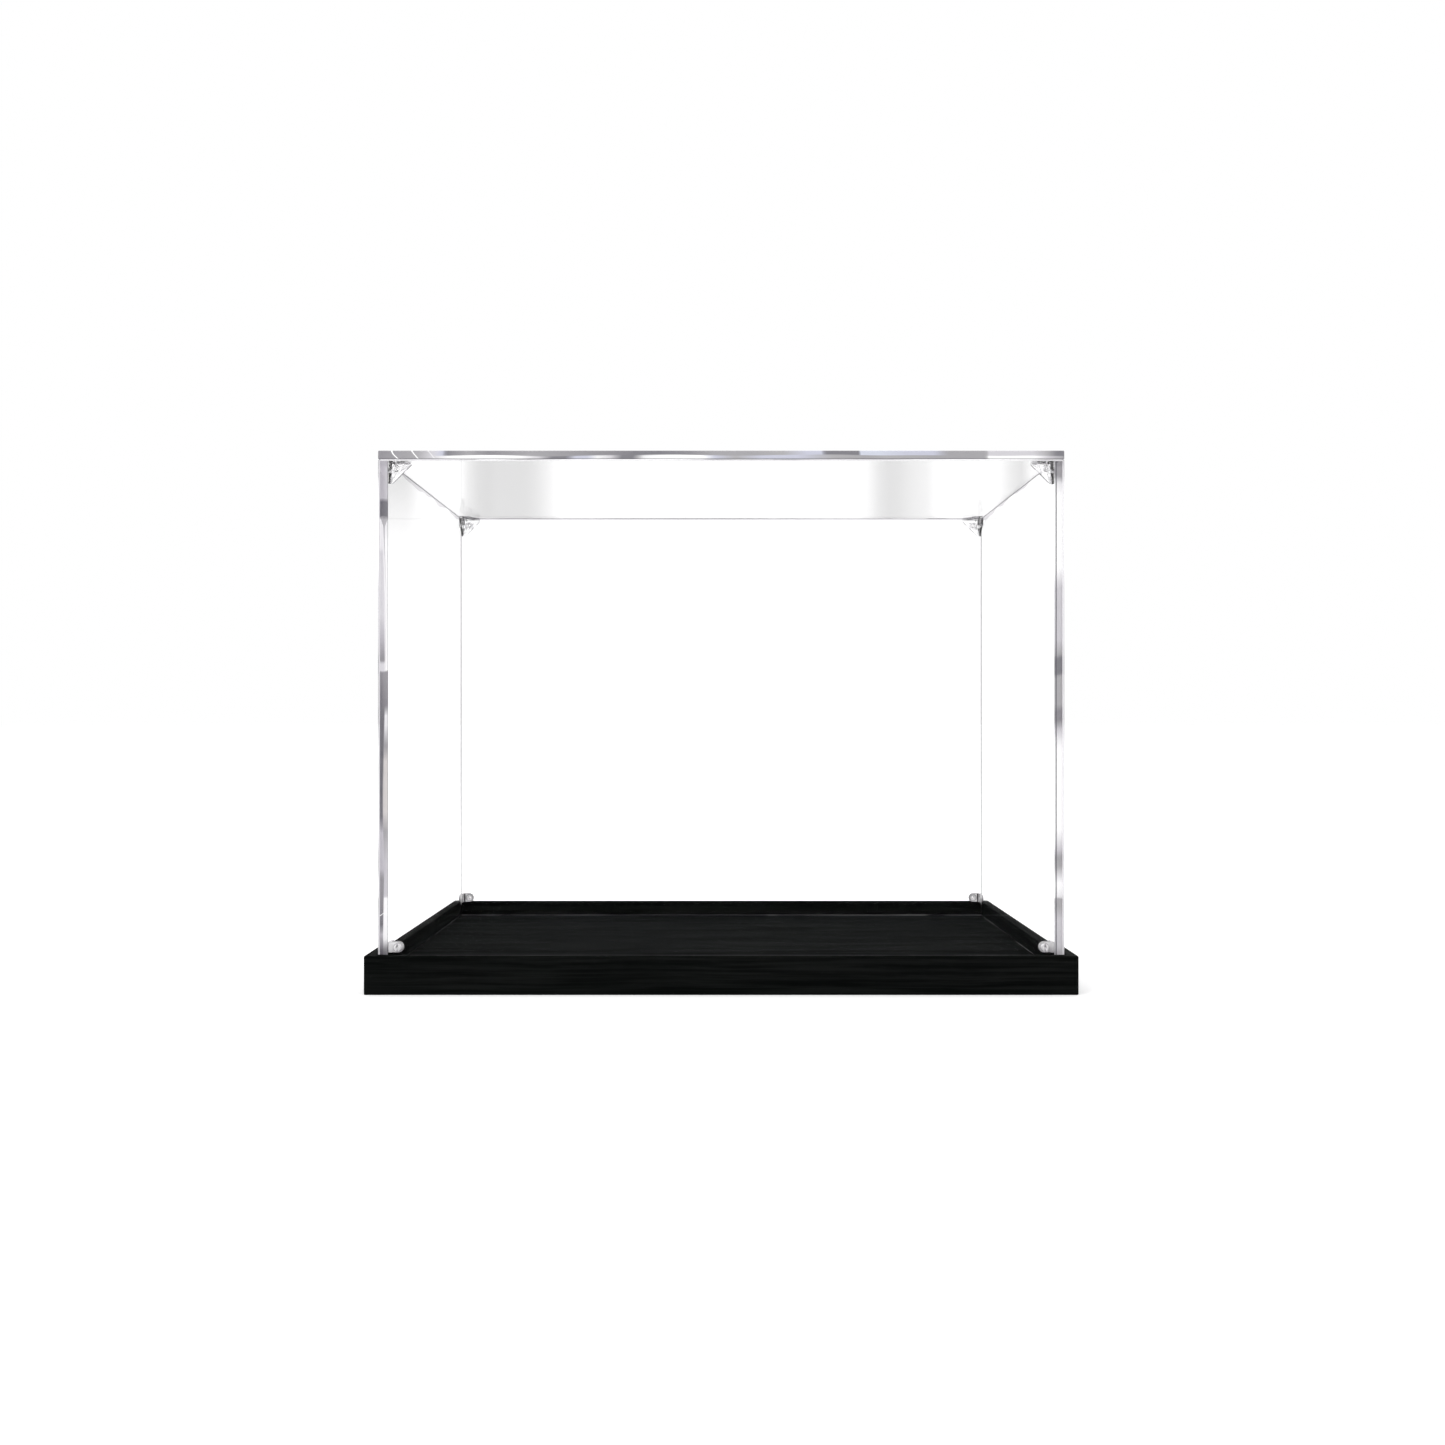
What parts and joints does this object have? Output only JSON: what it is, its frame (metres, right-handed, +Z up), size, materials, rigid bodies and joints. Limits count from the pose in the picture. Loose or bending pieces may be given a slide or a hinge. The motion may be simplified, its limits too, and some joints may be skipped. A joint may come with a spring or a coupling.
{
  "type": "display case",
  "caption": "Rectangular clear acrylic display case: a lift-off cover of flat sheets joined by clear corner connectors, standing inside the raised rim of a black wooden tray.",
  "frame": {"origin": "middle of the tray's underside, on the surface that the case stands on", "axes": "+X to the right along the case's width, +Y from the front to the back, +Z up"},
  "size_m": [0.33, 0.22, 0.2521],
  "materials": {
    "tray_rail_wood": "black paint over fine wood grain, satin",
    "tray_floor_wood": "black paint over fine wood grain, satin",
    "clear_acrylic": "clear polished acrylic sheet with polished edges",
    "clear_moulding": "clear glossy moulded plastic"
  },
  "bodies": {
    "tray": {"floor_board": "tray_floor_wood", "front_rail": "tray_rail_wood", "right_rail": "tray_rail_wood", "back_rail": "tray_rail_wood", "left_rail": "tray_rail_wood"},
    "cover": {"top_sheet": "clear_acrylic", "front_sheet": "clear_acrylic", "back_sheet": "clear_acrylic", "left_sheet": "clear_acrylic", "right_sheet": "clear_acrylic", "top_connector_front_left": "clear_moulding", "top_connector_front_right": "clear_moulding", "top_connector_back_right": "clear_moulding", "top_connector_back_left": "clear_moulding", "bottom_clip_front_left": "clear_moulding", "bottom_clip_front_right": "clear_moulding", "bottom_clip_back_right": "clear_moulding", "bottom_clip_back_left": "clear_moulding"}
  },
  "joints": [
    {"name": "cover_lift", "type": "slide", "parent": "tray", "child": "cover", "axis": [0, 0, 1], "range_m": [0, 0.25]}
  ]
}
